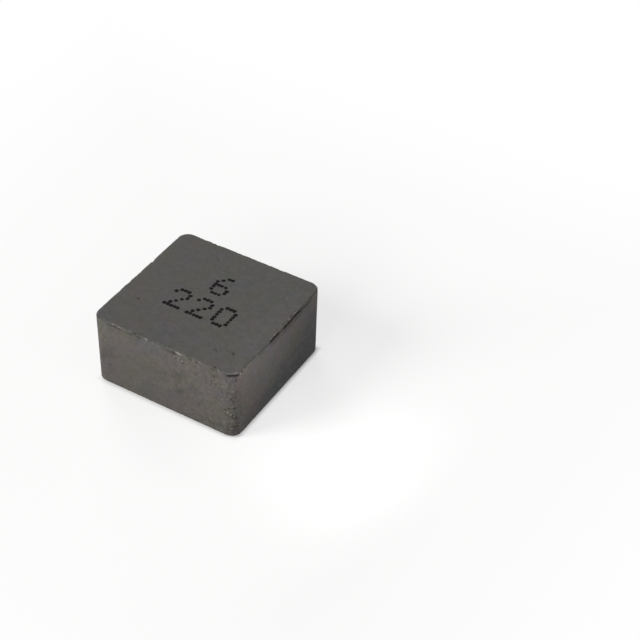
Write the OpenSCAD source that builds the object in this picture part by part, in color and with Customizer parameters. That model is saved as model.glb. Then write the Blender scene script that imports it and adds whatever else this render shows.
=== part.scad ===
// Shielded surface-mount inductor with no leads at its sides.
// A block of pressed alloy powder is moulded round a T-shaped core, which carries
// an edge-wound coil of flat enamelled wire. The wire's two ends fold under the
// core's base plate and lie on two tinned solder terminals in the base.
// Units are millimetres. The solder plane is z = 0, +Z is up and X is the long side.

/* [Body] */
// Length of the moulded body along X
body_l = 6.5; // [6.3:0.1:8]
// Width of the moulded body along Y
body_w = 6.25; // [6.05:0.05:8]
// Height of the moulded body from its base to its top
body_h = 3.2; // [2.9:0.1:5]
// Radius of the four upright corners
body_corner_r = 0.46; // [0.2:0.02:0.8]
// Radius of the edges round the top and the base
body_edge_r = 0.07; // [0.02:0.01:0.09]

/* [Terminals] */
// Length of each terminal along X
terminal_l = 4.9; // [3.6:0.1:5.1]
// Width of each terminal along Y
terminal_w = 1.25; // [1.1:0.05:1.35]
// Sheet thickness of the terminals
terminal_t = 0.25; // [0.18:0.01:0.32]
// Clear distance between the two terminals
terminal_gap = 2.8; // [2.5:0.05:3]
// Corner radius of a terminal, seen from below
terminal_corner_r = 0.18; // [0.08:0.01:0.3]
// Radius of the edges round a terminal's lower face
terminal_edge_r = 0.03; // [0.01:0.005:0.035]
// Clearance round each terminal in its recess
terminal_clearance = 0.04; // [0.02:0.01:0.06]
// Height of the body's base above the board
stand_off = 0.1; // [0.05:0.01:0.13]

/* [Core] */
// Length of the core's base plate along X
plate_l = 5.15; // [4.9:0.05:5.6]
// Thickness of the base plate over the terminals
plate_t = 0.65; // [0.5:0.05:0.9]
// Corner radius of the base plate
plate_corner_r = 0.4; // [0.1:0.05:0.6]
// Corner radius of the boss that shows between the terminals
boss_corner_r = 0.22; // [0.1:0.02:0.5]
// Chamfer round the top of the post
post_chamfer = 0.12; // [0.05:0.01:0.3]
// Diameter of the blind hole in the middle of the base
hole_d = 0.9; // [0.5:0.05:1.4]
// Depth of the blind hole
hole_depth = 1.1; // [0.4:0.1:1.8]
// Chamfer round the mouth of the blind hole
hole_chamfer = 0.04; // [0.01:0.01:0.08]

/* [Winding] */
// Full turns of the coil, to which the leads add half a turn
full_turns = 9; // [4:1:10]
// Width of the flat wire, across the coil
wire_w = 0.95; // [0.7:0.05:1.05]
// Thickness of the flat wire
wire_t = 0.13; // [0.1:0.01:0.14]
// Bevel along the wire's edges
wire_bevel = 0.03; // [0.01:0.005:0.04]
// Space between one turn and the next
turn_gap = 0.03; // [0.028:0.002:0.04]
// Inner radius of the bends in the leads
lead_bend_r = 0.08; // [0.06:0.01:0.14]
// Length of each lead's end that lies on its terminal
lead_lap = 1.5; // [0.8:0.1:3]
// Distance from a terminal's inner side to the lead that lies on it
lead_inset = 0.06; // [0.04:0.01:0.14]
// Clearance between the wire and what it lies in
wire_clearance = 0.03; // [0.025:0.005:0.04]
// Space between the coil and the plate under it
coil_lift = 0.02; // [0.01:0.002:0.024]

/* [Hidden] */

$fn = 64;
// Facets of the swept wire: steps in one turn, and steps in one quarter bend
turn_steps = 36;
bend_steps = 4;
// Reach of a cutting tool past the face that it breaks through
overshoot = 1;

// Heights of the stacked pieces
seat_z = terminal_t;
plate_top_z = seat_z + plate_t;
turn_pitch = wire_t + turn_gap;
coil_turns = full_turns + 0.5;
first_turn_z = plate_top_z + coil_lift + wire_t / 2;
last_turn_z = first_turn_z + coil_turns * turn_pitch;
post_top_z = last_turn_z + wire_t / 2 + wire_clearance;

// Coil radii, which also give the leads their places along Y
coil_inner_r = terminal_gap / 2 + lead_inset;
coil_mid_r = coil_inner_r + wire_w / 2;
coil_outer_r = coil_inner_r + wire_w;
post_r = coil_inner_r - wire_clearance;
passage_w = wire_w + 2 * wire_clearance;

// Centre line of a lead: its upright stretch, its bends and its end on the terminal
lead_x = -(plate_l - wire_t) / 2;
lead_low_z = seat_z + wire_t / 2;
bend_mid_r = lead_bend_r + wire_t / 2;
bend_x = lead_x + bend_mid_r;
lead_end_x = bend_x + lead_lap;

terminal_y = (terminal_gap + terminal_w) / 2;

// The terminals lie in a step along each long side of the plate, beside the boss
plate_w = terminal_gap + 2 * terminal_w;
boss_w = terminal_gap - 2 * terminal_clearance;

// ---- Shapes that several pieces share ----

// Rectangle with round corners, centred on its own origin
module round_rect(l, w, r) {
    square([l - 2 * r, w], center = true);
    square([l, w - 2 * r], center = true);
    for (x = [-1, 1], y = [-1, 1])
        translate([x * (l / 2 - r), y * (w / 2 - r)]) circle(r);
}

// Block standing on z = 0 with round upright corners and rounded edges above and below:
// two crossed prisms with a turned column in each corner
module soft_block(l, w, h, corner_r, edge_r) {
    translate([0, 0, h / 2]) {
        rotate([90, 0, 90]) linear_extrude(l - 2 * corner_r, center = true) round_rect(w, h, edge_r);
        rotate([90, 0, 0]) linear_extrude(w - 2 * corner_r, center = true) round_rect(l, h, edge_r);
        for (x = [-1, 1], y = [-1, 1])
            translate([x * (l / 2 - corner_r), y * (w / 2 - corner_r), 0])
                rotate_extrude() corner_profile(corner_r, h, edge_r);
    }
}

// Half section of a corner column, with its two outer edges rounded
module corner_profile(r, h, edge_r) {
    translate([0, -h / 2]) square([r - edge_r, h]);
    translate([0, -h / 2 + edge_r]) square([r, h - 2 * edge_r]);
    for (z = [-1, 1]) translate([r - edge_r, z * (h / 2 - edge_r)]) circle(edge_r);
}

// Quarter of a ring that bends from the left side towards top (side = 1) or bottom (side = -1)
module bend_view(side, gap) {
    inner_r = lead_bend_r - gap;
    outer_r = lead_bend_r + wire_t + gap;
    intersection() {
        difference() {
            circle(outer_r);
            circle(inner_r);
        }
        translate([-outer_r, side > 0 ? 0 : -outer_r]) square(outer_r);
    }
}

// Side view of one lead as (x, z), from its end on the terminal up to the coil at exit_z,
// grown by a gap on every side
module lead_view(exit_z, gap) {
    thick = wire_t + 2 * gap;
    low_bend_z = lead_low_z + bend_mid_r;
    high_bend_z = exit_z - bend_mid_r;
    translate([bend_x, lead_low_z - thick / 2]) square([lead_lap + gap, thick]);
    translate([bend_x, low_bend_z]) bend_view(-1, gap);
    translate([lead_x - thick / 2, low_bend_z]) square([thick, high_bend_z - low_bend_z]);
    translate([bend_x, high_bend_z]) bend_view(1, gap);
    translate([bend_x, exit_z - thick / 2]) square([-bend_x, thick]);
}

// Passage for the lead on one side of the coil (side = -1 or 1)
module lead_passage(side, exit_z) {
    translate([0, side * coil_mid_r, 0])
        rotate([90, 0, 0]) linear_extrude(passage_w, center = true) lead_view(exit_z, wire_clearance);
}

module lead_passages() {
    lead_passage(-1, first_turn_z);
    lead_passage(1, last_turn_z);
}

// Base plate and boss without the passages of the leads; the boss reaches down to z = low_z
module core_plate(boss_width, low_z) {
    translate([0, 0, seat_z]) linear_extrude(plate_t) round_rect(plate_l, plate_w, plate_corner_r);
    translate([0, 0, low_z]) linear_extrude(seat_z + plate_t / 2 - low_z)
        round_rect(plate_l, boss_width, boss_corner_r);
}

// Flat strip with rounded lower edges and a plain upper face against the plate
module terminal(side) {
    translate([0, side * terminal_y, 0])
    difference() {
        soft_block(terminal_l, terminal_w, terminal_t + 2 * terminal_edge_r, terminal_corner_r, terminal_edge_r);
        translate([-terminal_l, -terminal_w, terminal_t]) cube([2 * terminal_l, 2 * terminal_w, overshoot]);
    }
}

// Recess of a terminal in the body's base, from the plate's underside down
module terminal_recess(side) {
    translate([0, side * terminal_y, seat_z]) mirror([0, 0, 1]) linear_extrude(seat_z + overshoot)
        round_rect(
            terminal_l + 2 * terminal_clearance,
            terminal_w + 2 * terminal_clearance,
            terminal_corner_r + terminal_clearance
        );
}

// ---- Path of the flat wire ----
// Each station is [centre, direction of the wire's width, direction of its thickness].

// Flat wire's section: a rectangle with bevelled edges, as [across, through]
wire_section = [
    for (s = [[1, 1], [-1, 1], [-1, -1], [1, -1]])
        for (k = s[0] * s[1] > 0 ? [0, 1] : [1, 0])
            [s[0] * (wire_w / 2 - k * wire_bevel), s[1] * (wire_t / 2 - (1 - k) * wire_bevel)]
];

// Stations of one lead, from its end on the terminal up to the start of the coil
function lead_stations(side, exit_z) =
    let (y = side * coil_mid_r, across = [0, side, 0])
    concat(
        [[[lead_end_x, y, lead_low_z], across, [0, 0, -1]]],
        [for (i = [0 : bend_steps]) let (a = -90 - 90 * i / bend_steps)
            bend_station(y, lead_low_z + bend_mid_r, a, across)],
        [for (i = [0 : bend_steps]) let (a = 180 - 90 * i / bend_steps)
            bend_station(y, exit_z - bend_mid_r, a, across)]
    );

// One station on a bend's centre line, at angle a in the (x, z) plane
function bend_station(y, centre_z, a, across) =
    let (out = [cos(a), 0, sin(a)])
    [[bend_x, y, centre_z] + bend_mid_r * out, across, out];

// Stations of the coil: a rising helix from the -Y side round to the +Y side
coil_stations = [
    for (i = [0 : coil_turns * turn_steps])
        let (a = -90 + 360 * i / turn_steps, out = [cos(a), sin(a), 0])
        [coil_mid_r * out + [0, 0, first_turn_z + turn_pitch * i / turn_steps], out, [0, 0, 1]]
];

function reversed(list) = [for (i = [len(list) - 1 : -1 : 0]) list[i]];

wire_stations = concat(
    lead_stations(-1, first_turn_z),
    coil_stations,
    reversed(lead_stations(1, last_turn_z))
);

// Closed skin of a section carried through a list of stations
module sweep(stations, section) {
    n = len(section);
    last = len(stations) - 1;
    points = [for (s = stations, p = section) s[0] + p[0] * s[1] + p[1] * s[2]];
    sides = [
        for (i = [0 : last - 1], j = [0 : n - 1])
            let (a = i * n + j, b = i * n + (j + 1) % n)
            each [[a, b, b + n], [a, b + n, a + n]]
    ];
    caps = [[for (j = [n - 1 : -1 : 0]) j], [for (j = [0 : n - 1]) last * n + j]];
    polyhedron(points, concat(sides, caps));
}

// ---- The pieces ----

// Outer block, moulded round the core, the coil and the upper part of the terminals
module shield_body() {
    color([0.37, 0.36, 0.34])
    difference() {
        translate([0, 0, stand_off]) soft_block(body_l, body_w, body_h, body_corner_r, body_edge_r);
        core_plate(terminal_gap, stand_off - overshoot);
        translate([0, 0, plate_top_z - plate_t / 2])
            cylinder(r = coil_outer_r + wire_clearance, h = post_top_z - plate_top_z + plate_t / 2);
        lead_passages();
        for (side = [-1, 1]) terminal_recess(side);
    }
}

// Pressed core: a base plate with a boss below and the centre post above
module t_core() {
    color([0.39, 0.39, 0.37])
    difference() {
        union() {
            core_plate(boss_w, stand_off);
            post();
        }
        lead_passages();
        for (side = [-1, 1]) lead_notch(side);
        blind_hole();
    }
}

module post() {
    translate([0, 0, plate_top_z - plate_t / 2])
        cylinder(r = post_r, h = post_top_z - post_chamfer - plate_top_z + plate_t / 2);
    translate([0, 0, post_top_z - post_chamfer])
        cylinder(r1 = post_r, r2 = post_r - post_chamfer, h = post_chamfer);
}

// Notch in the plate's end, in which a lead lies flush with the end
module lead_notch(side) {
    depth = wire_t + wire_clearance;
    translate([-plate_l / 2 - overshoot, side * coil_mid_r - passage_w / 2, seat_z - overshoot])
        cube([depth + overshoot, passage_w, plate_t + 2 * overshoot]);
}

module blind_hole() {
    translate([0, 0, stand_off]) {
        translate([0, 0, -overshoot]) cylinder(d = hole_d, h = hole_depth + overshoot);
        cylinder(r1 = hole_d / 2 + hole_chamfer, r2 = hole_d / 2, h = hole_chamfer);
    }
}

// Edge-wound coil of flat enamelled wire with both leads folded under the plate
module winding() {
    color([0.72, 0.36, 0.16])
    sweep(wire_stations, wire_section);
}

module terminal_a() {
    color([0.72, 0.70, 0.66])
    terminal(-1);
}

module terminal_b() {
    color([0.72, 0.70, 0.66])
    terminal(1);
}

shield_body();
t_core();
winding();
terminal_a();
terminal_b();
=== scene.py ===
"""Looks of a moulded, shielded surface-mount inductor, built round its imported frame.

The block of pressed powder is one closed skin: rings are carried from the middle of its top over
its edges, down its sides, round its base and up into the pocket that holds the core and the coil.
Seeded wear sinks the skin along its edges. The mark is a group of dots of ink in the top, and the
core, the coil and the terminals keep the frame's own meshes and get their finishes here.
"""

import itertools
import math

import bpy
import numpy as np
from bpy.props import FloatProperty, FloatVectorProperty, IntProperty, PointerProperty, StringProperty
from mathutils import Matrix, Vector


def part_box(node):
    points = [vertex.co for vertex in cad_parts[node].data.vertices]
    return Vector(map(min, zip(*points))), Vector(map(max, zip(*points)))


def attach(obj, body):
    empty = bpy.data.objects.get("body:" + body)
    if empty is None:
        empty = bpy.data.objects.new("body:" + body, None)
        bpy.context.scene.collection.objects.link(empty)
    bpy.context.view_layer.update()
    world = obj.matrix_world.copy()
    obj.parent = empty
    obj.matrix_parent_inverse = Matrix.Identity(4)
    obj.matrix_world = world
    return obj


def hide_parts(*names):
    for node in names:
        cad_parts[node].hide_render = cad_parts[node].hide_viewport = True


bl_info = {
    "name": "Moulded Inductor Finish",
    "version": (1, 0, 0),
    "blender": (4, 5, 0),
    "location": "View3D > Sidebar > Inductor",
    "description": "Builds the worn block, the ink mark, the finishes and the studio of an inductor",
    "category": "Object",
}

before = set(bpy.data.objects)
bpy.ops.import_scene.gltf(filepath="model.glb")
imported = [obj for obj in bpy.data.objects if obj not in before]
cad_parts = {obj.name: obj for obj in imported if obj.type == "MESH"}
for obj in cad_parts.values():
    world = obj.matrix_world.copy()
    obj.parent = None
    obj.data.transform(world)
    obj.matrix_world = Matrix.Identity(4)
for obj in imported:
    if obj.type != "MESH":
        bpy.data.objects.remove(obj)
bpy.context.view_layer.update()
BLOCK_LOW, BLOCK_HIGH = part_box("shield_body")
_, CORE_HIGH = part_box("t_core")
_, COIL_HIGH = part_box("winding")
PAD_LOW, PAD_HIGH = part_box("terminal_b")

MM = 0.001
PER_MM = 1 / MM


def linear(*display):
    """Linear colour of one given in display values from 0 to 1."""
    return tuple(c / 12.92 if c <= 0.04045 else ((c + 0.055) / 1.055) ** 2.4 for c in display)


# ---- Sizes and colours that a user would change ----


def length(name, description, default, low=0.0):
    """A length property in metres."""
    return FloatProperty(
        name=name, description=description, default=default, min=low, precision=6, unit="LENGTH"
    )


def share(name, description, default, high=1.0):
    """A plain number property from nothing to high."""
    return FloatProperty(name=name, description=description, default=default, min=0.0, max=high)


def angle(name, description, degrees):
    """An angle property, given in degrees and kept in radians."""
    return FloatProperty(
        name=name, description=description, default=math.radians(degrees), subtype="ANGLE", unit="ROTATION"
    )


def colour(name, description, display):
    """A colour property, given in display values and kept linear."""
    kept = linear(*display)
    return FloatVectorProperty(
        name=name, description=description, default=kept, size=3, min=0.0, max=1.0, subtype="COLOR"
    )


class BlockSettings(bpy.types.PropertyGroup):
    corner_radius: length("Corner Radius", "Radius of the block's upright corners", 0.46 * MM)
    edge_radius: length("Edge Radius", "Radius of the edges round the top and the base", 0.07 * MM)
    pad_gap: length("Terminal Gap", "Clearance round each terminal in its recess", 0.04 * MM)
    plate_height: length("Plate Thickness", "Thickness of the core's plate over the terminals", 0.65 * MM)
    plate_radius: length("Plate Corner Radius", "Corner radius of the core plate's pocket", 0.4 * MM)
    plate_gap: length("Plate Gap", "Clearance round the core's plate in its pocket", 0.004 * MM)
    pad_radius: length("Recess Corner Radius", "Corner radius of the terminals' recesses", 0.22 * MM)
    coil_gap: length("Coil Gap", "Clearance round the coil in its pocket", 0.03 * MM)
    columns: IntProperty(name="Columns", description="Grid points round the block", default=560, min=64)
    grain_depth: length("Grain Depth", "Deepest hollow of the pressed grain", 0.007 * MM)
    chip_depth: length("Chip Depth", "Deepest chip along the top edge", 0.08 * MM)
    chip_count: IntProperty(name="Chips", description="Chips round the top edge", default=150, min=0)
    seam_drop: length("Seam Drop", "Distance of the press seam under the middle of the edge", 0.075 * MM)
    seam_height: length("Seam Height", "Height of the press seam", 0.12 * MM)
    seam_depth: length("Seam Depth", "Depth of the press seam", 0.065 * MM)
    seed: IntProperty(name="Wear Seed", description="Start of the random draws for the wear", default=11)


class MarkSettings(bpy.types.PropertyGroup):
    upper: StringProperty(name="Upper Line", description="Digits of the upper line", default="6")
    lower: StringProperty(name="Lower Line", description="Digits of the lower line", default="220")
    dot_size: length("Dot Size", "Diameter of one dot of ink", 0.172 * MM)
    column_pitch: length("Column Pitch", "Distance between dots across a digit", 0.155 * MM)
    row_pitch: length("Row Pitch", "Distance between dots up a digit", 0.166 * MM)
    digit_pitch: length("Digit Pitch", "Distance from one digit to the next", 1.04 * MM)
    line_pitch: length("Line Pitch", "Distance from one line to the next", 1.49 * MM)
    lower_middle: length("Lower Line Middle", "Place of the lower line along Y", -0.51 * MM, -3 * MM)
    thickness: length("Ink Thickness", "Height of the ink over the block", 0.002 * MM)
    seed: IntProperty(name="Ink Seed", description="Start of the random draws for the dots", default=5)


class FinishSettings(bpy.types.PropertyGroup):
    block: colour("Block", "Pressed alloy powder of the block", (0.299, 0.293, 0.285))
    block_warm: colour("Block Warm Patches", "Brownish patches of the block", (0.304, 0.286, 0.267))
    block_cool: colour("Block Cool Patches", "Bluish olive patches of the block", (0.276, 0.284, 0.280))
    block_red: colour("Block Rust", "Reddish flecks of the block", (0.330, 0.290, 0.280))
    block_olive: colour("Block Olive Patches", "Olive patches of the block", (0.297, 0.297, 0.258))
    block_violet: colour("Block Violet Patches", "Violet patches of the block", (0.303, 0.284, 0.301))
    # Dark colour for the painted shade on the low rear part of the sides, and for the mould's smears
    block_wiped_and_shaded: colour("Block Wiped Patches", "Dark patches wiped by the mould", (0.185, 0.192, 0.200))
    fresh: colour("Fresh Powder", "Powder laid bare where an edge is chipped", (0.50, 0.485, 0.46))
    core: colour("Core", "Smooth pressed powder of the core", (0.365, 0.355, 0.33))
    tin: colour("Tin", "Tinned face of the terminals", (0.66, 0.63, 0.595))
    tin_dull: colour("Dull Tin", "Dull patches of the tin", (0.57, 0.54, 0.505))
    wire: colour("Wire Enamel", "Enamelled copper of the coil", (0.66, 0.33, 0.16))
    ink: colour("Ink", "Ink of the mark", (0.03, 0.028, 0.035))
    ink_thin: colour("Thin Ink", "Ink where it is thin", (0.09, 0.085, 0.09))
    grain_size: length("Grain Size", "Size of the pressed powder's grain", 0.045 * MM)
    bump: length("Grain Bump", "Height of the grain that the finish adds", 0.008 * MM)


class StageSettings(bpy.types.PropertyGroup):
    bearing: angle("Camera Bearing", "Direction from the block to the camera, from +X", -55.305)
    elevation: angle("Camera Elevation", "Height of the camera over the block's middle", 41.43)
    distance: length("Camera Distance", "Distance from the block's middle to the camera", 59.59 * MM)
    heading: angle("Look Heading", "Direction in which the camera looks, from +X", 119.141)
    tilt: angle("Look Tilt", "Angle by which the camera looks down", 40.971)
    roll: angle("Roll", "Turn of the camera about its own axis", 2.247)
    lens: FloatProperty(name="Lens", description="Focal length of the camera", default=85.27, unit="CAMERA")
    floor: colour("Floor", "Colour of the pale floor", (0.955, 0.952, 0.948))
    floor_glow: share("Floor Glow", "Share of the floor that the camera sees as plain white paper", 0.65)
    floor_size: length("Floor Size", "Side of the floor", 2.0)
    ambient: share("Ambient", "Strength of the even light round the block", 0.25, 2.0)


SETTINGS = {
    "inductor_block": BlockSettings,
    "inductor_mark": MarkSettings,
    "inductor_finish": FinishSettings,
    "inductor_stage": StageSettings,
}


# ---- Surfaces ----


def grid_mesh(name, rings):
    """Closed mesh of pieces x rings x columns x 3 points. In each piece neighbours on the grid make
    quads, the last column meets the first, and a fan round the middle of each end ring closes the
    ends. The rings run so that their order, crossed with the columns' order, points outwards."""
    index = np.arange(rings[..., 0].size).reshape(rings.shape[:3])
    after = np.roll(index, -1, axis=2)
    quads = np.stack([index[:, :-1], index[:, 1:], after[:, 1:], after[:, :-1]], axis=-1).reshape(-1, 4)
    first = np.broadcast_to(index.size + np.arange(len(rings))[:, None], index[:, 0].shape)
    last = first + len(rings)
    start = np.stack([first, index[:, 0], after[:, 0]], axis=-1)
    end = np.stack([last, after[:, -1], index[:, -1]], axis=-1)
    triangles = np.vstack([start, end]).reshape(-1, 3)
    vertices = np.vstack([rings.reshape(-1, 3), rings[:, 0].mean(1), rings[:, -1].mean(1)])
    corners = np.concatenate([quads.ravel(), triangles.ravel()])
    sizes = np.repeat([4, 3], [len(quads), len(triangles)])
    mesh = bpy.data.meshes.new(name)
    mesh.vertices.add(len(vertices))
    mesh.vertices.foreach_set("co", vertices.astype(np.float32).ravel())
    mesh.loops.add(len(corners))
    mesh.loops.foreach_set("vertex_index", corners.astype(np.int32))
    mesh.polygons.add(len(sizes))
    mesh.polygons.foreach_set("loop_start", (np.cumsum(sizes) - sizes).astype(np.int32))
    mesh.polygons.foreach_set("use_smooth", np.ones(len(sizes), bool))
    mesh.update(calc_edges=True)
    if mesh.validate():
        raise RuntimeError(f"{name} had faces that Blender mended")
    return mesh


def add_object(data):
    """New object of a mesh, a lamp or a camera, with its name, in the scene."""
    made = bpy.data.objects.new(data.name, data)
    bpy.context.scene.collection.objects.link(made)
    return made


def place_piece(mesh, material):
    """Object of a new mesh, riding on the frame's body with its finish and slot."""
    piece = add_object(mesh)
    mesh.materials.append(material)
    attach(piece, "root")
    return piece


# Factors and shifts of the hash behind the seeded noise
HASH_PRIMES = (73856093, 19349663, 83492791)
HASH_STEPS = ((13, 1274126177), (15, 2246822519))
SEED_FACTOR = 668265263


def lattice_noise(points, cell, seed):
    """Smooth noise from 0 to 1. Each corner of a lattice has a random value from a hash of its place,
    and a point takes the mean of the corners round it, weighted by the smooth step of its place."""
    grid = points / cell
    low = np.floor(grid).astype(np.int64)
    part = grid - low
    part = part * part * (3 - 2 * part)
    total = np.zeros(points.shape[:-1])
    for corner in itertools.product((0, 1), repeat=3):
        at = (low + corner) * np.array(HASH_PRIMES)
        key = np.bitwise_xor.reduce(at, axis=-1) + seed * SEED_FACTOR
        for shift, factor in HASH_STEPS:
            key = ((key ^ (key >> shift)) * factor) & 0xFFFFFFFF
        value = (key >> 8 & 0xFFFF) / 0xFFFF
        total += value * np.prod(np.where(corner, part, 1 - part), axis=-1)
    return total


def smooth_step(low, high, value):
    """Nothing below low, 1 above high, and the cubic step 3t2 - 2t3 between them."""
    part = np.clip((value - low) / (high - low), 0, 1)
    return part * part * (3 - 2 * part)


def reach_of_outline(half_x, half_y, radius, directions):
    """Distance from the middle to a rectangle with round corners, along each direction: the nearer
    of the two straight sides, or the corner's circle where the side has ended."""
    across, along = np.abs(directions[:, 0]), np.abs(directions[:, 1])
    straight = np.minimum(half_x / np.maximum(across, 1e-9), half_y / np.maximum(along, 1e-9))
    centre_x, centre_y = half_x - radius, half_y - radius
    in_corner = (straight * across > centre_x) & (straight * along > centre_y)
    toward = across * centre_x + along * centre_y
    under_root = np.maximum(toward**2 - centre_x**2 - centre_y**2 + radius**2, 0)
    return np.where(in_corner, toward + np.sqrt(under_root), straight)


FINE_STEPS = 20000  # corners of the polygon that measures an outline


def even_directions(half_x, half_y, radius, columns):
    """Unit directions from the middle to points spaced evenly along the outline, and the distance
    of each along it, starting at +X and running towards +Y. A fine polygon of the outline is
    measured, and the directions are read off at even distances."""
    turn = np.linspace(0, 2 * math.pi, FINE_STEPS)
    fine = np.stack([np.cos(turn), np.sin(turn)], axis=-1)
    points = fine * reach_of_outline(half_x, half_y, radius, fine)[:, None]
    travelled = np.concatenate([[0], np.cumsum(np.linalg.norm(np.diff(points, axis=0), axis=1))])
    along = np.arange(columns) * travelled[-1] / columns
    at = np.interp(along, travelled, turn)
    return np.stack([np.cos(at), np.sin(at)], axis=-1), along


# ---- The moulded block ----


# Rings of the skin on each stretch, in the order in which they run
TOP_RINGS = 48
EDGE_RINGS = 9
SIDE_RINGS = 80
LOW_EDGE_RINGS = 5
BASE_RINGS = 9
OPENING_RINGS = 5
PLATE_RINGS = 4
POCKET_RINGS = 6
CEILING_SCALES = (0.75, 0.5, 0.25, 0.05)

INNERMOST = 0.012  # place of the first ring from the middle of the top, as a share of the way out
CLOSE_BAND = 0.5 * MM  # height of the closer rings under the top edge
FADE_RINGS = 3  # rings of the base over which the wear dies out
BOSS_CORNER = 0.02 * MM  # corner radius of the opening round the core's boss


def top_rings(half, radius, edge, height, count):
    """Rings of the flat top: the outline inside the edge's curve, scaled from small to whole with
    closer steps towards the edge. Each ring is (half x, half y, corner radius, scale, height)."""
    scales = np.sin(np.linspace(INNERMOST, 1, count) * math.pi / 2)
    inner = (half[0] - edge, half[1] - edge, radius - edge)
    return [(*inner, scale, height) for scale in scales]


def edge_rings(half, radius, edge, height, side, count):
    """Rings of a rounded edge: a quarter circle that starts on the top (side 1) or ends on the base
    (side -1). The circle's inset and drop are 1 - sin and 1 - cos of the angle, times its radius."""
    turns = np.linspace(0, math.pi / 2, count + 2)[1:-1]
    turns = turns if side > 0 else turns[::-1]
    insets, drops = edge * (1 - np.sin(turns)), edge * (1 - np.cos(turns))
    return [(half[0] - i, half[1] - i, radius - i, 1.0, height - side * d) for i, d in zip(insets, drops)]


def side_rings(half, radius, top, low, band, count):
    """Rings of the upright side: close steps in a band under the top edge and even ones below."""
    close = np.linspace(top, top - band, count // 3, endpoint=False)
    even = np.linspace(top - band, low, count - count // 3)
    return [(*half, radius, 1.0, z) for z in np.concatenate([close, even])]


def block_rings(settings, directions):
    """Every ring of the block from the middle of its top to the middle of its pocket's ceiling, as
    rings x columns x 3 points, and for each ring whether wear may sink it."""
    half = (BLOCK_HIGH.x, BLOCK_HIGH.y)
    radius, edge = settings.corner_radius, settings.edge_radius
    top, low, seat = BLOCK_HIGH.z, BLOCK_LOW.z, PAD_HIGH.z
    outer = top_rings(half, radius, edge, top, TOP_RINGS)
    outer += edge_rings(half, radius, edge, top, 1, EDGE_RINGS)
    outer += side_rings(half, radius, top - edge, low + edge, CLOSE_BAND, SIDE_RINGS)
    outer += edge_rings(half, radius, edge, low, -1, LOW_EDGE_RINGS)
    rings = [
        scale * reach_of_outline(x, y, r, directions)[:, None] * directions for x, y, r, scale, _ in outer
    ]
    heights = [ring[-1] for ring in outer]
    opening = opening_reach(settings, directions)[:, None] * directions
    base = reach_of_outline(half[0] - edge, half[1] - edge, radius - edge, directions)[:, None] * directions
    rings += [base + (opening - base) * part for part in np.linspace(0, 1, BASE_RINGS)]
    heights += [low] * BASE_RINGS
    plate_x, plate_y = CORE_HIGH.x + settings.plate_gap, CORE_HIGH.y + settings.plate_gap
    plate = reach_of_outline(plate_x, plate_y, settings.plate_radius, directions)[:, None] * directions
    plate_top = seat + settings.plate_height
    pocket = (COIL_HIGH.y + settings.coil_gap) * directions
    for ring, levels in (
        (opening, np.linspace(low, seat, OPENING_RINGS)[1:]),
        (plate, np.linspace(seat, plate_top, PLATE_RINGS)),
        (pocket, np.linspace(plate_top, CORE_HIGH.z, POCKET_RINGS)),
    ):
        rings += [ring] * len(levels)
        heights += list(levels)
    rings += [pocket * part for part in CEILING_SCALES]
    heights += [CORE_HIGH.z] * len(CEILING_SCALES)
    flat = np.array(rings)
    tall = np.broadcast_to(np.array(heights)[:, None, None], (*flat.shape[:2], 1))
    worn = np.arange(len(rings)) < len(outer) + FADE_RINGS
    return np.concatenate([flat, tall], axis=-1), worn


def opening_reach(settings, directions):
    """Reach of the opening in the base: the farther of two rectangles, one round the core's boss and
    one round the two terminals in their recesses."""
    boss = reach_of_outline(CORE_HIGH.x, PAD_LOW.y, BOSS_CORNER, directions)
    pads = reach_of_outline(
        PAD_HIGH.x + settings.pad_gap, PAD_HIGH.y + settings.pad_gap, settings.pad_radius, directions
    )
    return np.maximum(boss, pads)


def ring_normals(points):
    """Outward unit normal of every grid point, from the steps to its neighbours."""
    along = np.roll(points, -1, axis=1) - np.roll(points, 1, axis=1)
    over = np.gradient(points, axis=0)
    normal = np.cross(over, along)
    return normal / np.maximum(np.linalg.norm(normal, axis=-1, keepdims=True), 1e-12)


# Stretches of the top edge under which the press left an open seam: start and end in millimetres
# along the outline, from the middle of the +X side towards +Y, and depth as a share of the deepest
SEAM_STRETCHES = (
    (-0.7, 2.3, 1.0),
    (-1.6, -0.6, 0.4),
    (6.2, 7.4, 0.5),
    (10.3, 12.6, 0.7),
    (16.0, 17.6, 0.55),
    (18.7, 19.2, 0.5),
    (20.2, 21.1, 0.25),
)

# Scars that show one by one: place along the same outline, distance under the edge, half length and
# half height, all in millimetres, then shares: depth, exposed powder and painted highlight, and grime
# and painted shade
EDGE_SCARS = (
    (21.64, 0.065, 0.33, 0.070, 1.0, 0.0, 1.6),
    (21.62, -0.055, 0.24, 0.018, 0.0, 0.45, 0.0),
    (21.99, 0.10, 0.05, 0.035, 0.2, 0.8, 0.0),
    (21.26, -0.02, 0.06, 0.035, 0.5, 0.6, 0.0),
    (19.26, 0.02, 0.17, 0.055, 0.9, 1.0, 0.0),
    (19.00, 0.00, 0.10, 0.050, 0.6, 0.2, 0.4),
    (19.48, 0.13, 0.16, 0.060, 0.8, 0.5, 0.1),
    (19.80, 0.06, 0.18, 0.050, 0.6, 0.3, 0.2),
    (20.15, 0.03, 0.12, 0.045, 0.5, 0.2, 0.3),
    (17.78, 0.02, 0.10, 0.050, 0.8, 0.9, 0.0),
    (13.10, 0.02, 0.16, 0.050, 0.5, 0.7, 0.0),
    (7.90, 0.03, 0.20, 0.050, 0.5, 0.8, 0.2),
    (4.80, 0.02, 0.12, 0.045, 0.7, 0.6, 0.0),
)

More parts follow.
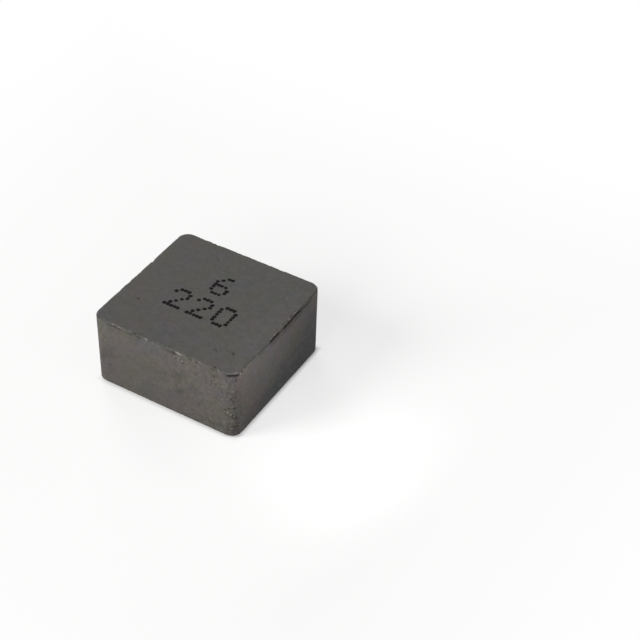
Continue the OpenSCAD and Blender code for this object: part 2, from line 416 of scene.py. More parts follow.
# Clusters of small pits in the sides: middle along the outline and under the edge, spread along and
# down, mean half length and half height of a pit, all in millimetres, and how many pits
PIT_CLUSTERS = (
    (19.45, 0.30, 0.26, 0.09, 0.055, 0.040, 12),
    (21.60, 0.95, 0.16, 0.30, 0.040, 0.055, 12),
    (21.05, 0.75, 0.30, 0.35, 0.040, 0.055, 10),
    (21.62, 1.85, 0.14, 0.35, 0.055, 0.045, 9),
    (21.78, 2.62, 0.07, 0.22, 0.110, 0.035, 9),
    (0.9, 1.5, 1.2, 0.6, 0.035, 0.035, 5),
    (15.85, 1.0, 0.16, 0.5, 0.035, 0.045, 5),
    (9.20, 1.4, 0.16, 0.8, 0.035, 0.040, 12),
    (3.10, 1.6, 0.14, 0.8, 0.035, 0.040, 10),
    (8.30, 0.30, 0.35, 0.10, 0.045, 0.035, 7),
)

# Dents in the top: middle x and y, half length and half width, all in millimetres, bearing of the
# length in degrees, then depth and darkening as shares, where less than no darkening lightens
TOP_DENTS = (
    (1.84, -2.23, 0.07, 0.045, 30.0, 0.4, 0.7),
    (2.06, -2.09, 0.22, 0.022, 31.0, 0.2, 0.6),
    (2.50, -2.04, 0.13, 0.060, -52.0, 0.4, 0.6),
    (1.30, -2.72, 0.06, 0.030, 20.0, 0.1, -0.9),
    (2.44, 1.76, 0.10, 0.035, 12.0, 0.4, -0.5),
    (-2.31, -1.35, 0.05, 0.040, 60.0, 0.5, 0.6),
    (-1.05, 2.30, 0.16, 0.020, -35.0, 0.3, 0.5),
)


TOP_LAYER = 0.02 * MM  # depth under the top within which a point counts as on it
CHIP_REACH = 1.6  # reach of a ragged chip, in its half lengths
RAGGED_CELL = 0.05 * MM  # cell of the noise that makes rims ragged
SEAM_END = 0.12 * MM  # length over which a stretch of seam opens
SEAM_WAVER = 0.06 * MM  # how far the seam strays up and down
SEAM_WAVER_CELL = 0.5 * MM
SEAM_BREAK_CELL = 0.19 * MM
LIP_HEIGHT = 0.03 * MM  # half height of the lip over the seam, and its distance over the edge
RUB_BAND = 0.10 * MM  # distance from the edge to which handling has rubbed it
RUB_CELL = 0.2 * MM
COARSE_GRAIN = 0.09 * MM
FINE_GRAIN = 0.04 * MM
WAVER_BAND = 0.16 * MM  # distance from the edge to which it wavers
WAVER_CELL = 0.33 * MM
PUSH_BAND = 0.22 * MM  # distance from the edge to which the wear's direction turns


def bowl(offset):
    """Section of a chip: 1 in the middle, falling to nothing at 1, flat inside and steep at its rim."""
    return np.clip(1 - np.abs(offset) ** 3, 0, 1)


def round_offset(along, place, girth):
    """Distance along the closed outline from a place to every column, the shorter way round."""
    return (along - place + girth / 2) % girth - girth / 2


def pits_of(draw, clusters):
    """Rows like those of the scars for clusters of pits, drawn at random round each middle. A pit is
    a hollow with painted shade, and a second row gives it a painted highlight on a rim a little above
    and before it."""
    rows = []
    for place, drop, spread, fall, long, tall, count in clusters:
        middle = np.stack([draw.normal(place, spread, count), draw.normal(drop, fall, count)], axis=-1)
        half = np.array([long, tall]) * draw.uniform(0.6, 1.4, (count, 2))
        dark = draw.uniform(0.3, 0.9, (count, 1))
        rim = middle - half * draw.uniform(0.6, 1.1, (count, 1))
        # Painted shade in the pit, in the grime column
        rows.append(np.hstack([middle, half, 0.55 * dark, 0 * dark, dark]))
        # Painted highlight on the pit's rim, in the exposed-powder column
        bright = draw.uniform(0.25, 0.85, (count, 1))
        rows.append(np.hstack([rim, half * 0.7, 0.1 * dark, bright, 0 * dark]))
    return np.vstack(rows)


def dent_field(points):
    """Depth and darkening of the dents in the top, from -1 to 1, at each grid point: a bowl round each
    dent's middle, in a frame turned to its bearing. Less than no darkening lightens it to exposed powder."""
    depth, dirt_and_shade = np.zeros((2, *points.shape[:2]))
    on_top = points[..., 2] > BLOCK_HIGH.z - TOP_LAYER
    for x, y, long, wide, bearing, deep, soil_and_shade in TOP_DENTS:
        turn = math.radians(bearing)
        away = points[..., :2] - np.array([x, y]) * MM
        lengthwise = (away[..., 0] * math.cos(turn) + away[..., 1] * math.sin(turn)) / (long * MM)
        crosswise = (away[..., 1] * math.cos(turn) - away[..., 0] * math.sin(turn)) / (wide * MM)
        part = bowl(np.hypot(lengthwise, crosswise)) * on_top
        depth = np.maximum(depth, deep * part)
        dirt_and_shade = dirt_and_shade + soil_and_shade * part
    return depth, dirt_and_shade


def chip_field(settings, along, over, girth, ragged):
    """Depth of the chips, their exposed powder with painted highlights, and their grime with painted
    shade, from 0 to 1, at each grid point: the most of any of the named scars and pits and of many
    small bowls drawn at random. Rims are ragged."""
    draw = np.random.default_rng(settings.seed)
    count = settings.chip_count
    # Columns as in the scars' table
    drawn = np.transpose(
        [
            draw.uniform(0, girth / MM, count),
            draw.normal(0.0, 0.035, count),
            draw.uniform(0.03, 0.15, count),
            draw.uniform(0.02, 0.05, count),
            draw.uniform(0.2, 0.8, count) ** 2,
            draw.uniform(0.0, 0.8, count) ** 2,
            np.maximum(draw.uniform(-1.6, 0.8, count), 0),
        ]
    )
    fields = np.zeros((3, *over.shape))
    for place, middle, long, tall, *shares in np.vstack([drawn, EDGE_SCARS, pits_of(draw, PIT_CLUSTERS)]):
        offset = round_offset(along, place * MM, girth) / (long * MM)
        near = np.abs(offset) < CHIP_REACH
        part = bowl(offset[near] + ragged[:, near])
        part = part * bowl((over[:, near] - middle * MM) / (tall * MM) + ragged[:, near])
        fields[:, :, near] = np.maximum(fields[:, :, near], np.reshape(shares, (3, 1, 1)) * part)
    return fields


def seam_field(settings, along, over, girth, ragged):
    """Depth, from 0 to 1, of the seam that the press leaves under the top edge: a narrow groove at a
    wavering distance under the edge, open along the named stretches and broken by lattice noise.
    With it come painted shade in and below the groove, and a painted highlight just over the edge."""
    open_part = np.zeros(along.shape)
    for start, end, deep in SEAM_STRETCHES:
        middle, half = (start + end) / 2 * MM, (end - start) / 2 * MM
        offset = np.abs(round_offset(along, middle, girth))
        inside = 1 - smooth_step(half - SEAM_END, half + SEAM_END, offset)
        open_part = np.maximum(open_part, deep * inside)
    place = np.stack([along, 0 * along, 0 * along], axis=-1)
    waver = lattice_noise(place, SEAM_WAVER_CELL, settings.seed + 1) - 0.5
    broken = smooth_step(0.25, 0.55, lattice_noise(place, SEAM_BREAK_CELL, settings.seed + 2))
    under = (over - settings.seam_drop - SEAM_WAVER * waver) / (settings.seam_height / 2) + 1.4 * ragged
    opened = open_part * (0.45 + 0.55 * broken)
    # Painted shade in the groove and in a wider band below it
    soil_and_shade = opened * np.clip(bowl(under * 0.8) + 0.5 * open_part * bowl((under - 2.2) / 3.6), 0, 1)
    # The last field is a painted highlight just over the edge
    return opened * bowl(under), soil_and_shade, opened * bowl((over + LIP_HEIGHT) / LIP_HEIGHT)


def push_directions(points, over, band):
    """Direction against which wear sinks each grid point: the surface's normal, but round the top edge
    its turn from up to sideways is spread over a wider band, so that a deep chip doesn't fold."""
    normals = ring_normals(points)
    side_row = int(np.argmin(np.abs(over[:, 0] - band)))
    turn = smooth_step(-band, band, over)[..., None] * math.pi / 2
    spread = normals[side_row] * np.sin(turn) + np.array([0, 0, 1]) * np.cos(turn)
    return np.where(np.abs(over)[..., None] < band, spread, normals)


def wear_block(settings, points, along, girth, worn):
    """Points of the block sunk by its wear, and two fields from 0 to 1 at each of them: exposed powder
    with painted highlights on lips and pit rims, and grime with painted shade in the seam, the scars and
    the pits. The grain is two layers of lattice noise, and a slow one lets the edges waver."""
    height = points[..., 2]
    step = np.linalg.norm(np.diff(points, axis=0), axis=-1).mean(axis=1)
    travelled = np.concatenate([[0], np.cumsum(step)])
    middle_of_edge = BLOCK_HIGH.z - settings.edge_radius * (1 - math.sqrt(0.5))
    edge_row = int(np.argmin(np.abs(height[:, 0] - middle_of_edge)))
    over = np.broadcast_to((travelled - travelled[edge_row])[:, None], height.shape)
    ragged = 0.6 * (lattice_noise(points, RAGGED_CELL, settings.seed) - 0.5)
    chips, bare_and_highlight, soil_and_shade = chip_field(settings, along, over, girth, ragged)
    seam, dirt_and_shade, lip_highlight = seam_field(settings, along, over, girth, ragged)
    dents, marks = dent_field(points)
    rub = 0.3 * bowl(over / RUB_BAND) * lattice_noise(points, RUB_CELL, 6)
    chips = np.maximum(chips, dents)
    # Exposed powder with the rubbed edges and the painted highlight over the seam
    bare_and_highlight = np.maximum(bare_and_highlight, np.maximum(0.5 * lip_highlight, rub)) - marks
    # Grime with the painted shade of the seam, the scars and the pits
    dirt_and_shade = np.maximum(dirt_and_shade, soil_and_shade) + marks
    fields = {"bare_and_highlight": np.clip(bare_and_highlight, 0, 1), "dirt_and_shade": np.clip(dirt_and_shade, 0, 1)}
    grain = 0.6 * lattice_noise(points, COARSE_GRAIN, 3) + 0.4 * lattice_noise(points, FINE_GRAIN, 4)
    at_edge = bowl(over / WAVER_BAND)
    waver = lattice_noise(points, WAVER_CELL, 5)
    sink = settings.grain_depth * (grain + 1.2 * at_edge * waver)
    sink = sink + settings.chip_depth * chips + settings.seam_depth * seam
    rows = np.arange(len(worn))
    fade = np.clip((worn.sum() - rows) / FADE_RINGS, 0, 1)
    directions = push_directions(points, over, PUSH_BAND)
    return points - directions * (sink * fade[:, None])[..., None], fields


class BuildBlock(bpy.types.Operator):
    """Build the moulded block's skin with its grain and chipped edges"""

    bl_idname = "inductor.build_block"
    bl_label = "Build Block"

    def execute(self, context):
        settings = context.scene.inductor_block
        half_x, half_y = BLOCK_HIGH.x, BLOCK_HIGH.y
        directions, along = even_directions(half_x, half_y, settings.corner_radius, settings.columns)
        girth = along[1] * settings.columns
        points, worn = block_rings(settings, directions)
        points, fields = wear_block(settings, points, along, girth, worn)
        mesh = grid_mesh("moulded_block", points[None])
        for name, field in fields.items():
            values = np.concatenate([field.ravel(), [0, 0]]).astype(np.float32)
            mesh.attributes.new(name, "FLOAT", "POINT").data.foreach_set("value", values)
        piece = place_piece(mesh, moulded_composite(context.scene.inductor_finish))
        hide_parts("shield_body")
        return {"FINISHED"}


# ---- The ink mark ----

# Each digit's seven rows of five dots from the top down, as five-bit numbers
DIGIT_ROWS = {
    "0": (14, 17, 17, 17, 17, 17, 14),
    "1": (4, 12, 4, 4, 4, 4, 14),
    "2": (14, 17, 1, 2, 4, 8, 31),
    "3": (31, 2, 4, 2, 1, 17, 14),
    "4": (2, 6, 10, 18, 31, 2, 2),
    "5": (31, 16, 30, 1, 1, 17, 14),
    "6": (6, 8, 16, 30, 17, 17, 14),
    "7": (31, 1, 2, 4, 8, 8, 8),
    "8": (14, 17, 17, 14, 17, 17, 14),
    "9": (14, 17, 17, 15, 1, 2, 12),
}


# Rings of a drop of ink, from its foot under the surface to its crown: each one's radius as a share
# of the dot's, and its height as a share of the ink's thickness
DROP_SECTIONS = ((0.55, -2.0), (1.0, -1.6), (1.0, 0.35), (0.9, 0.8), (0.45, 1.0))
DROP_COLUMNS = 28
DROP_SHIFT = 0.006 * MM  # how far a dot strays from its place
DROP_WAVE = 0.045  # strength of each wave round a dot's rim
DROP_SPREAD = 0.06  # how much the dots' sizes differ


def dot_places(settings):
    """Place of every dot of the two lines: a bit set in a digit's row is a dot at that column and
    row, and each line is centred on the block's middle along X."""
    places = []
    upper_middle = settings.lower_middle + settings.line_pitch
    for text, middle in ((settings.lower, settings.lower_middle), (settings.upper, upper_middle)):
        for number, digit in enumerate(text):
            centre = (number - (len(text) - 1) / 2) * settings.digit_pitch
            rows = np.array(DIGIT_ROWS[digit])[:, None]
            row, column = np.nonzero(rows >> np.arange(4, -1, -1) & 1)
            x = centre + (column - 2) * settings.column_pitch
            y = middle + (3 - row) * settings.row_pitch
            places.append(np.stack([x, y], axis=-1))
    return np.concatenate(places)


def ink_dots(settings, surface):
    """Closed drops of ink, as one mesh. A drop is five rings and two poles: a foot under the
    surface, a rim just over it and a flat crown. The rim's radius is the dot's half size, made
    uneven by three random waves round it, and each drop is shifted a little from its place."""
    draw = np.random.default_rng(settings.seed)
    places = dot_places(settings)
    places = places + draw.normal(0, DROP_SHIFT, places.shape)
    turn = np.linspace(0, 2 * math.pi, DROP_COLUMNS, endpoint=False)
    waves = np.zeros((len(places), len(turn)))
    for order in (2, 3, 5):
        phase = draw.uniform(0, 2 * math.pi, (len(places), 1))
        waves += draw.normal(0, DROP_WAVE, (len(places), 1)) * np.cos(order * turn + phase)
    size = settings.dot_size / 2 * draw.normal(1.0, DROP_SPREAD, (len(places), 1)) * (1 + waves)
    # Arrays of drops x rings x columns, with each drop's rings from its crown down
    wide, tall = np.array(DROP_SECTIONS)[::-1].T[:, None, :, None]
    x, y = places.T[:, :, None, None]
    reach = wide * size[:, None]
    height = surface + tall * settings.thickness
    return np.stack([x + reach * np.cos(turn), y + reach * np.sin(turn), height + 0 * reach], axis=-1)


class BuildMark(bpy.types.Operator):
    """Build the dots of ink that make the mark's plain digits"""

    bl_idname = "inductor.build_mark"
    bl_label = "Build Mark"

    def execute(self, context):
        settings = context.scene.inductor_mark
        block = context.scene.inductor_block
        surface = BLOCK_HIGH.z - block.grain_depth / 2
        mesh = grid_mesh("ink_mark", ink_dots(settings, surface))
        place_piece(mesh, mark_ink(context.scene.inductor_finish))
        return {"FINISHED"}


# ---- Finishes ----

# Heights that a full swing of the bump stands for on the finer pieces
FINE_BUMP = 0.005 * MM
TIN_BUMP = 0.012 * MM
WIRE_BUMP = 0.003 * MM


class Value:
    """A socket of a material, so that + - * and / on it write Math nodes."""

    def __init__(self, recipe, socket):
        self.recipe = recipe
        self.socket = socket

    def other(self, name):
        """Another output of the same node."""
        return Value(self.recipe, self.socket.node.outputs[name])

    def maths(self, operation, first, second=0.0):
        return self.recipe.node("ShaderNodeMath", {"operation": operation}, {0: first, 1: second})

    def __add__(self, other):
        return self.maths("ADD", self, other)

    def __sub__(self, other):
        return self.maths("SUBTRACT", self, other)

    def __rsub__(self, other):
        return self.maths("SUBTRACT", other, self)

    def __mul__(self, other):
        return self.maths("MULTIPLY", self, other)

    def __truediv__(self, other):
        return self.maths("DIVIDE", self, other)

    def __rtruediv__(self, other):
        return self.maths("DIVIDE", other, self)

    def __abs__(self):
        return self.maths("ABSOLUTE", self)

    __radd__ = __add__
    __rmul__ = __mul__


class Recipe:
    """The nodes of a material or of the world."""

    def __init__(self, owner):
        owner.use_nodes = True
        self.owner = owner
        self.tree = owner.node_tree
        self.tree.nodes.clear()

    def node(self, kind, settings=None, inputs=None, output=0):
        """Adds a node, sets what it is first and then its sockets, and returns one of its outputs."""
        made = self.tree.nodes.new(kind)
        for name, setting in (settings or {}).items():
            setattr(made, name, setting)
        for name, value in (inputs or {}).items():
            if isinstance(value, Value):
                self.tree.links.new(value.socket, made.inputs[name])
            else:
                made.inputs[name].default_value = value
        return Value(self, made.outputs[output])

    def millimetres(self, stretch=(1, 1, 1)):
        """The surface's own place in millimetres, stretched along each axis."""
        place = self.node("ShaderNodeTexCoord", output="Object")
        scale = tuple(PER_MM * s for s in stretch)
        return self.node("ShaderNodeVectorMath", {"operation": "MULTIPLY"}, {0: place, 1: scale})

    def parts(self, vector):
        """X part of a vector, whose other outputs are its Y and Z parts."""
        return self.node("ShaderNodeSeparateXYZ", None, {"Vector": vector})

    def field(self, name):
        """A value kept at each point of the mesh."""
        return self.node("ShaderNodeAttribute", {"attribute_name": name}, output="Fac")

    def noise(self, place, per_mm, detail=2.0, roughness=0.5, distortion=0.0):
        """Noise from 0 to 1, with that many cells in a millimetre."""
        inputs = {
            "Vector": place,
            "Scale": per_mm,
            "Detail": detail,
            "Roughness": roughness,
            "Distortion": distortion,
        }
        return self.node("ShaderNodeTexNoise", None, inputs)

    def step(self, value, low, high):
        """Smooth step of a value from nothing at low to 1 at high."""
        inputs = {"Value": value, "From Min": low, "From Max": high}
        return self.node("ShaderNodeMapRange", {"interpolation_type": "SMOOTHSTEP"}, inputs)

    def blend(self, factor, first, second):
        """Mix of two colours by a factor."""
        first = first if isinstance(first, Value) else (*first, 1)
        second = second if isinstance(second, Value) else (*second, 1)
        inputs = {0: factor, 6: first, 7: second}
        return self.node("ShaderNodeMix", {"data_type": "RGBA"}, inputs, output=2)

    def scaled(self, tint, amount):
        """A colour made lighter or darker by a value."""
        return self.node("ShaderNodeVectorMath", {"operation": "SCALE"}, {0: tint, "Scale": amount})

    def bump(self, height, distance):
        """Normal bent by a height from 0 to 1 that stands for a distance in metres."""
        return self.node("ShaderNodeBump", None, {"Height": height, "Distance": distance})

    def finish(self, **sockets):
        """Ends a material with a Principled surface whose sockets are named with underscores."""
        inputs = {name.replace("_", " "): value for name, value in sockets.items()}
        return self.end_with(self.node("ShaderNodeBsdfPrincipled", None, inputs))

    def end_with(self, surface, kind="ShaderNodeOutputMaterial"):
        """Ends the nodes with that surface and returns what they belong to."""
        self.tree.links.new(surface.socket, self.tree.nodes.new(kind).inputs["Surface"])
        return self.owner


def moulded_composite(colours):
    """Pressed alloy powder: a fine grain of light and dark flecks, faint brownish and bluish patches,
    sides burnished by the mould with painted shade that darkens them towards the base and the +X end
    towards the rear and low down, dark smears from the mould, upright corners rubbed to a coarse
    speckle with painted shade in its hollows, exposed powder with painted highlights at the chips,
    lips and pit rims, and grime with painted shade in the seam, the scars and the pits."""
    recipe = Recipe(bpy.data.materials.new("moulded_composite"))
    noise, step, blend = recipe.noise, recipe.step, recipe.blend
    place = recipe.millimetres()
    per_mm = MM / colours.grain_size
    patches = noise(place, 0.7, 5.0, 0.62, 0.5)
    tints = noise(place, 4.5, 3.0, 0.6, 0.3)
    blush = noise(place, 0.9, 2.0, 0.5)
    hue = noise(place, 1.2, 3.0, 0.55, 0.3)
    mottle = noise(place, 2.4, 4.0, 0.72, 0.2) - 0.5
    flecks = noise(place, 7.5, 3.0, 0.70) - 0.5
    grain = noise(place, per_mm, 3.0, 0.7) - 0.5
    drag = noise(recipe.millimetres((1, 1, 0.22)), 5.0, 4.0, 0.65, 0.4) - 0.5
    smears = noise(recipe.millimetres((0.6, 0.6, 1)), 0.8, 4.0, 0.55, 0.8)
    # Exposed powder with painted highlights, and grime with painted shade, kept on the skin
    bare_and_highlight, dirt_and_shade = recipe.field("bare_and_highlight"), recipe.field("dirt_and_shade")

    facing = recipe.parts(recipe.node("ShaderNodeNewGeometry", output="Normal"))
    side = 1 - step(abs(facing.other("Z")), 0.3, 0.8)
    at = recipe.parts(place)
    toward_corner = abs(at) / (BLOCK_HIGH.x * PER_MM) + abs(at.other("Y")) / (BLOCK_HIGH.y * PER_MM)
    corner = step(toward_corner + 0.5 * mottle, 1.72, 1.99)
    up = (at.other("Z") - BLOCK_LOW.z * PER_MM) / ((BLOCK_HIGH.z - BLOCK_LOW.z) * PER_MM)
    near_front = step(at - at.other("Y"), 1.2, 6.0) * side
    end_face = side * step(facing, 0.5, 0.95)
    rubbed = (near_front * 0.38 + corner * 0.45) * (1 - 0.6 * end_face)
    # Painted shade on the low rear part of the sides, mostly on the +X end and broken by smears, to which
    # the mould's smears on all sides are added
    shaded_low_rear = step(at.other("Y") * 0.16 - up * 0.9 + smears, -0.05, 0.6)
    wiped_and_shaded = side * step(facing, 0.3, 0.9) * shaded_low_rear
    wiped_and_shaded = wiped_and_shaded * 0.8 + side * step(smears, 0.56, 0.70) * 0.3

    warm = side * (0.65 - 0.35 * end_face) + step(patches, 0.45, 0.66) * 0.5
    tint = blend(warm, colours.block, colours.block_warm)
    tint = blend(step(patches, 0.48, 0.34) * 0.7, tint, colours.block_cool)
    tint = blend(step(hue, 0.50, 0.38) * (0.34 + 0.3 * end_face), tint, colours.block_olive)
    tint = blend(step(hue, 0.50, 0.62) * (0.34 + 0.5 * end_face), tint, colours.block_violet)
    tint = blend(end_face * step(blush, 0.46, 0.62) * 0.6, tint, colours.block_red)
    tint = blend(wiped_and_shaded, tint, colours.block_wiped_and_shaded)
    tint = blend(step(tints, 0.56, 0.68) * 0.45, tint, colours.block_red)
    level = 1 + (1.05 - 0.35 * side) * mottle + 0.30 * grain + (0.34 + 1.1 * rubbed + 0.9 * wiped_and_shaded) * flecks
    # Painted shade: the sides are darker towards the base and lighter towards the top, the +X end most,
    # over the mould's drag streaks, and the +X end is darkened towards the rear
    level = level * (1 + side * ((0.26 + 0.2 * end_face) * (up - 0.5) + 0.20 * drag))
    level = level * (1 - end_face * (0.03 + 0.13 * step(at.other("Y"), -1.0, 1.5)))
    glints = step(flecks + 0.3 * grain, 0.09, 0.18) * (0.1 + rubbed)
    # Painted shade in the hollows of the speckle
    shaded_hollows = step(flecks + 0.3 * mottle, -0.08, -0.17) * (0.1 + rubbed)
    # Lighter at glints and exposed powder with its painted highlights, darker with painted shade in the
    # hollows and with grime and painted shade
    level = level * (1 + 0.4 * glints - 0.28 * shaded_hollows) * (1 + 0.5 * bare_and_highlight) * (1 - 0.72 * dirt_and_shade)
    tint = recipe.scaled(tint, level)
    laid_bare = step(bare_and_highlight + 2.0 * grain + 2.0 * flecks, 0.35, 0.80) * step(bare_and_highlight, 0.03, 0.25)
    tint = blend(laid_bare, tint, colours.fresh)

    roughness = 0.66 + 0.5 * mottle + 0.3 * grain - 0.2 * glints - 0.16 * wiped_and_shaded + 0.1 * bare_and_highlight
    height = 0.7 * grain + (0.4 + 0.7 * rubbed) * flecks - 0.2 * shaded_hollows + 0.2 * side * drag
    return recipe.finish(
        Base_Color=tint,
        Roughness=roughness,
        Specular_IOR_Level=0.12,
        Normal=recipe.bump(height, colours.bump),
    )


def core_composite(colours):
    """Smoother pressed powder of the core, with a faint mottle, soft wipe marks across the terminals
    and a fine even grain."""
    recipe = Recipe(bpy.data.materials.new("core_composite"))
    noise, step = recipe.noise, recipe.step
    place = recipe.millimetres()
    mottle = noise(place, 1.4, 3.0, 0.6) - 0.5
    wipes = noise(recipe.millimetres((1, 0.14, 1)), 3.5, 4.0, 0.6, 0.3) - 0.5
    flecks = noise(place, 11.0, 3.0, 0.65) - 0.5
    grain = noise(place, 34.0, 2.0, 0.6) - 0.5
    # Painted shade in the pores
    shaded_pores = step(flecks + 0.5 * grain, -0.14, -0.22)
    level = 1 + 0.35 * mottle + 0.35 * wipes + 0.25 * flecks + 0.2 * grain - 0.35 * shaded_pores
    return recipe.finish(
        Base_Color=recipe.scaled(colours.core, level),
        Roughness=0.46 + 0.3 * mottle + 0.3 * wipes + 0.2 * grain + 0.2 * shaded_pores,
        Specular_IOR_Level=0.35,
        Normal=recipe.bump(0.6 * grain + 0.4 * flecks + 0.2 * wipes - 0.5 * shaded_pores, FINE_BUMP),
    )


def tinned_copper(colours):
    """Dipped tin: a fine frosting of grains, dull handling marks, scratches along the strip, small pits
    with painted shade, and beside each long edge, where the strip was pressed, a painted highlight along
    the rim and a broken groove with painted shade."""
    recipe = Recipe(bpy.data.materials.new("tinned_copper"))
    noise, step, blend = recipe.noise, recipe.step, recipe.blend
    place = recipe.millimetres()
    patches = noise(place, 1.8, 5.0, 0.7, 0.4) - 0.5
    ripple = noise(place, 7.0, 4.0, 0.7) - 0.5
    frost = noise(place, 22.0, 3.0, 0.7) - 0.5
    brushed = noise(recipe.millimetres((1, 0.3, 0.3)), 9.0, 3.0, 0.6) - 0.5
    scratches = step(noise(recipe.millimetres((0.1, 1, 1)), 16.0, 2.0, 0.5), 0.60, 0.68)
    cells = recipe.node("ShaderNodeTexVoronoi", {"feature": "F1"}, {"Vector": place, "Scale": 5.0})
    # Painted shade in the pits
    pits = (1 - step(cells, 0.05, 0.16)) * step(ripple, 0.02, 0.08)

    at = recipe.parts(place)
    across = abs(at.other("Y"))
    middle, half = (PAD_HIGH.y + PAD_LOW.y) / 2 * PER_MM, (PAD_HIGH.y - PAD_LOW.y) / 2 * PER_MM
    inset = half - abs(across - middle) + 0.04 * patches
    # Painted highlight along the rim of each long edge
    rim = 1 - step(inset, 0.04, 0.09)
    # Painted shade in the broken groove beside each long edge
    groove = (1 - step(abs(inset - 0.11), 0.01, 0.035)) * step(patches + ripple, -0.09, 0.02)

    worn = step(patches + 0.8 * ripple, -0.12, 0.16)
    tint = blend(worn, colours.tin_dull, colours.tin)
    level = 1 + 0.5 * frost + 0.3 * brushed + 0.2 * rim - 0.15 * scratches - 0.45 * pits - 0.5 * groove
    roughness = 0.48 - 0.08 * worn + 0.35 * ripple + 0.3 * frost - 0.16 * rim + 0.1 * scratches + 0.2 * pits
    height = 0.35 * patches + 0.5 * ripple + 0.35 * frost - 0.2 * scratches - 0.5 * pits - 0.7 * groove
    return recipe.finish(
        Base_Color=recipe.scaled(tint, level),
        Metallic=1.0,
        Roughness=roughness,
        Normal=recipe.bump(height, TIN_BUMP),
    )


def enamelled_copper(colours):
    """Copper under a clear amber enamel, with faint draw lines along the coil's turns."""
    recipe = Recipe(bpy.data.materials.new("enamelled_copper"))
    noise = recipe.noise
    place = recipe.millimetres()
    patches = noise(place, 1.8, 3.0, 0.6) - 0.5
    lines = noise(recipe.millimetres((0.6, 0.6, 6)), 9.0, 2.0, 0.5) - 0.5
    return recipe.finish(
        Base_Color=recipe.scaled(colours.wire, 1 + 0.4 * patches + 0.2 * lines),
        Metallic=0.9,
        Roughness=0.30 + 0.2 * patches,
        Coat_Weight=0.8,
        Coat_Roughness=0.12,
        Normal=recipe.bump(0.6 * lines + 0.4 * patches, WIRE_BUMP),
    )


def mark_ink(colours):
    """Matt black ink that has soaked into the grain, a little greyer where it is thin."""
    recipe = Recipe(bpy.data.materials.new("mark_ink"))
    noise, step, blend = recipe.noise, recipe.step, recipe.blend
    place = recipe.millimetres()
    thin = noise(place, 9.0, 3.0, 0.6)
    grain = noise(place, 24.0, 2.0, 0.6)
    return recipe.finish(
        Base_Color=blend(step(thin, 0.58, 0.80), colours.ink, colours.ink_thin),
        Roughness=0.8 + 0.1 * (grain - 0.5),
        Specular_IOR_Level=0.08,
        Normal=recipe.bump(grain, FINE_BUMP),
    )


FRAME_FINISHES = {
    "t_core": core_composite,
    "winding": enamelled_copper,
    "terminal_a": tinned_copper,
    "terminal_b": tinned_copper,
}


class FinishFrame(bpy.types.Operator):
    """Give the core, the coil and the terminals their finishes"""

    bl_idname = "inductor.finish_frame"
    bl_label = "Finish Core, Coil and Terminals"

    def execute(self, context):
        colours = context.scene.inductor_finish
        made = {recipe: recipe(colours) for recipe in set(FRAME_FINISHES.values())}
        for name, recipe in FRAME_FINISHES.items():
            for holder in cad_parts[name].material_slots:
                holder.link = "OBJECT"
                holder.material = made[recipe]
        return {"FINISHED"}


# ---- The stage ----

# Each lamp's bearing from +X and elevation in degrees, distance and width in millimetres, and level,
# which is the share of plain light that it gives to a white surface facing it
LAMPS = {
    "key_lamp": (-132.0, 31.0, 400.0, 200.0, 0.90),
    "low_lamp": (-90.0, 15.0, 400.0, 200.0, 0.42),
    "back_lamp": (138.0, 24.0, 400.0, 240.0, 0.44),
    "fill_lamp": (-18.0, 22.0, 10.0, 3.0, 0.25),
}


# Distances from the block's sides, in millimetres, over which the floor's glow comes in, and over
# which the floor turns plain white
GLOW_STARTS = (-0.15, 0.15)
ALL_WHITE = (2.0, 20.0)

# Limits of what the camera shows, as shares of its distance and of the floor's side
NEAR_CLIP, FAR_CLIP = 0.02, 4.0


def direction_of(bearing, elevation):
    """Unit vector of a bearing from +X and an elevation."""
    level = math.cos(elevation)
    return Vector((level * math.cos(bearing), level * math.sin(bearing), math.sin(elevation)))


def seen_by_eye(recipe):
    """1 for a ray from the camera or off a glossy or clear surface, and 0 for light itself."""
    rays = recipe.node("ShaderNodeLightPath", output="Is Camera Ray")
    either = rays.maths("MAXIMUM", rays, rays.other("Is Glossy Ray"))
    return rays.maths("MAXIMUM", either, rays.other("Is Transmission Ray"))


def pale_floor(settings):
    """Matt pale paper. Beside the block the eye sees part of it as plain white, so that the shadow
    stays light, and the gap under the block keeps its full shade. Far off it is all plain white, so
    that no horizon shows."""
    recipe = Recipe(bpy.data.materials.new("pale_floor"))
    paper = recipe.node("ShaderNodeBsdfDiffuse", None, {"Color": (*settings.floor, 1)})
    white = recipe.node("ShaderNodeEmission", None, {"Color": (1, 1, 1, 1), "Strength": 1.0})
    at = recipe.parts(recipe.millimetres())
    past_side = abs(at) - BLOCK_HIGH.x * PER_MM
    past_side = past_side.maths("MAXIMUM", past_side, abs(at.other("Y")) - BLOCK_HIGH.y * PER_MM)
    near, far = recipe.step(past_side, *GLOW_STARTS), recipe.step(past_side, *ALL_WHITE)
    seen = seen_by_eye(recipe) * (settings.floor_glow * near + (1 - settings.floor_glow) * far)
    return recipe.end_with(recipe.node("ShaderNodeMixShader", None, {0: seen, 1: paper, 2: white}))


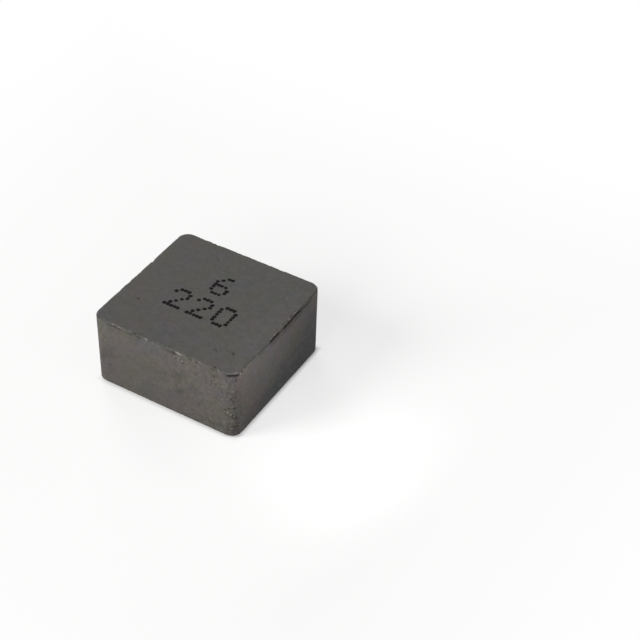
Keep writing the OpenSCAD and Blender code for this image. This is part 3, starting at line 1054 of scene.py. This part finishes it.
class SetStage(bpy.types.Operator):
    """Set the pale floor, the lamps, the surroundings and the camera"""

    bl_idname = "inductor.set_stage"
    bl_label = "Set Stage"

    def execute(self, context):
        scene = context.scene
        settings = scene.inductor_stage
        middle = Vector((0, 0, (BLOCK_LOW.z + BLOCK_HIGH.z) / 2))
        self.lay_floor(settings)
        self.set_surroundings(scene, settings)
        for name, lamp in LAMPS.items():
            self.hang_lamp(middle, name, *lamp)
        self.set_camera(scene, settings, middle)
        scene.view_settings.view_transform = "Standard"
        return {"FINISHED"}

    def lay_floor(self, settings):
        side = settings.floor_size / 2
        corners = [(-side, -side, 0), (side, -side, 0), (side, side, 0), (-side, side, 0)]
        mesh = bpy.data.meshes.new("floor")
        mesh.from_pydata(corners, [], [(0, 1, 2, 3)])
        mesh.materials.append(pale_floor(settings))
        floor = add_object(mesh)

    def set_surroundings(self, scene, settings):
        recipe = Recipe(bpy.data.worlds.new("surroundings"))
        strength = settings.ambient + (1 - settings.ambient) * seen_by_eye(recipe)
        sky = recipe.node("ShaderNodeBackground", None, {"Color": (1, 1, 1, 1), "Strength": strength})
        scene.world = recipe.end_with(sky, "ShaderNodeOutputWorld")

    def hang_lamp(self, middle, name, bearing, elevation, distance, width, level):
        """Disk lamp facing the block. Its power is its level times the squares of pi and of its
        distance, so that its light on the block is the same from any distance."""
        away = direction_of(math.radians(bearing), math.radians(elevation))
        lamp = bpy.data.lights.new(name, "AREA")
        lamp.shape = "DISK"
        lamp.size = width * MM
        lamp.energy = level * math.pi**2 * (distance * MM) ** 2
        holder = add_object(lamp)
        turn = away.to_track_quat("Z", "Y").to_matrix().to_4x4()
        holder.matrix_world = Matrix.Translation(middle + away * distance * MM) @ turn
        holder.visible_camera = False

    def set_camera(self, scene, settings, middle):
        away = settings.distance * direction_of(settings.bearing, settings.elevation)
        lens = bpy.data.cameras.new("camera")
        lens.lens = settings.lens
        lens.clip_start = settings.distance * NEAR_CLIP
        lens.clip_end = settings.floor_size * FAR_CLIP
        camera = add_object(lens)
        camera.matrix_world = (
            Matrix.Translation(middle + away)
            @ Matrix.Rotation(settings.heading - math.pi / 2, 4, "Z")
            @ Matrix.Rotation(math.pi / 2 - settings.tilt, 4, "X")
            @ Matrix.Rotation(settings.roll, 4, "Z")
        )
        scene.camera = camera


# ---- The add-on ----


class InductorPanel(bpy.types.Panel):
    """Buttons and settings for the inductor's looks"""

    bl_idname = "VIEW3D_PT_inductor"
    bl_label = "Moulded Inductor"
    bl_space_type = "VIEW_3D"
    bl_region_type = "UI"
    bl_category = "Inductor"

    def draw(self, context):
        for operator in OPERATORS:
            self.layout.operator(operator.bl_idname)
        for name, group in SETTINGS.items():
            box = self.layout.box()
            for setting in group.__annotations__:
                box.prop(getattr(context.scene, name), setting)


OPERATORS = (BuildBlock, BuildMark, FinishFrame, SetStage)


def register():
    for group in (*SETTINGS.values(), *OPERATORS, InductorPanel):
        bpy.utils.register_class(group)
    for name, group in SETTINGS.items():
        setattr(bpy.types.Scene, name, PointerProperty(type=group))


def unregister():
    for name in SETTINGS:
        delattr(bpy.types.Scene, name)
    for group in reversed((*SETTINGS.values(), *OPERATORS, InductorPanel)):
        bpy.utils.unregister_class(group)


def main():
    register()
    bpy.ops.inductor.build_block()
    bpy.ops.inductor.build_mark()
    bpy.ops.inductor.finish_frame()
    bpy.ops.inductor.set_stage()


if __name__ == "__main__":
    main()
